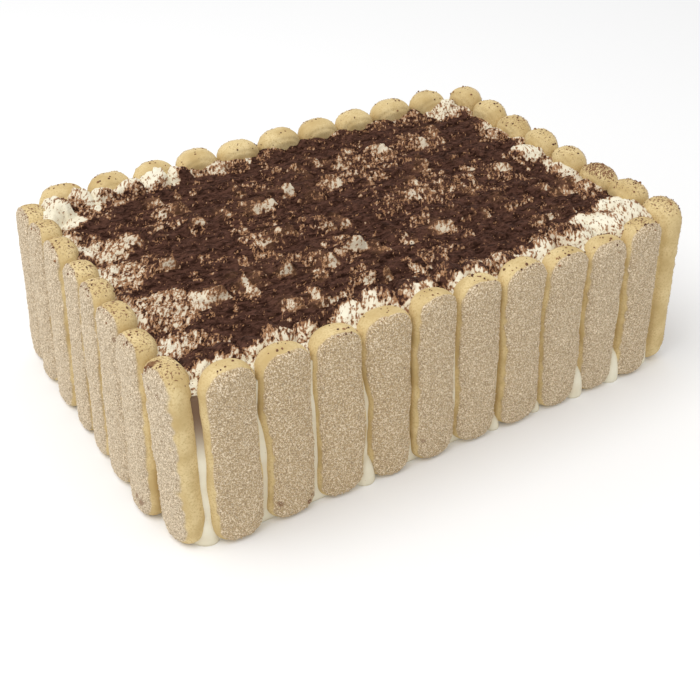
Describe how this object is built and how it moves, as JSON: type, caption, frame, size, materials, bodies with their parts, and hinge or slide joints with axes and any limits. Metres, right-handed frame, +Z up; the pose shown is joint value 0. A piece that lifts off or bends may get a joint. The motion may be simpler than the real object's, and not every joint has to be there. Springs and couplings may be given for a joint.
{
  "type": "tiramisu sheet cake",
  "caption": "Rectangular cream cake with a spatula-rippled top dusted with cocoa, fenced on all sides by upright sugared ladyfinger biscuits.",
  "frame": {"origin": "on the resting plane under the middle of the cake", "axes": "+X along the long front to the right, the front faces -Y, +Z up"},
  "size_m": [0.3398, 0.2278, 0.1082],
  "materials": {
    "cream": "soft whipped mascarpone cream, satin, with fine spatula marks",
    "biscuit": "dry golden sponge biscuit, matt, with a beige granular sugar crust on its outer face",
    "cocoa": "fine dark cocoa powder, fully matt, in small clumps"
  },
  "bodies": {
    "root": {"cream_cake": "cream", "ladyfinger_front_01": "biscuit", "ladyfinger_front_02": "biscuit", "ladyfinger_front_03": "biscuit", "ladyfinger_front_04": "biscuit", "ladyfinger_front_05": "biscuit", "ladyfinger_front_06": "biscuit", "ladyfinger_front_07": "biscuit", "ladyfinger_front_08": "biscuit", "ladyfinger_front_09": "biscuit", "ladyfinger_front_10": "biscuit", "ladyfinger_right_01": "biscuit", "ladyfinger_right_02": "biscuit", "ladyfinger_right_03": "biscuit", "ladyfinger_right_04": "biscuit", "ladyfinger_right_05": "biscuit", "ladyfinger_right_06": "biscuit", "ladyfinger_right_07": "biscuit", "ladyfinger_right_08": "biscuit", "ladyfinger_back_01": "biscuit", "ladyfinger_back_02": "biscuit", "ladyfinger_back_03": "biscuit", "ladyfinger_back_04": "biscuit", "ladyfinger_back_05": "biscuit", "ladyfinger_back_06": "biscuit", "ladyfinger_back_07": "biscuit", "ladyfinger_back_08": "biscuit", "ladyfinger_back_09": "biscuit", "ladyfinger_back_10": "biscuit", "ladyfinger_left_01": "biscuit", "ladyfinger_left_02": "biscuit", "ladyfinger_left_03": "biscuit", "ladyfinger_left_04": "biscuit", "ladyfinger_left_05": "biscuit", "ladyfinger_left_06": "biscuit", "ladyfinger_left_07": "biscuit", "ladyfinger_left_08": "biscuit"}
  },
  "joints": []
}
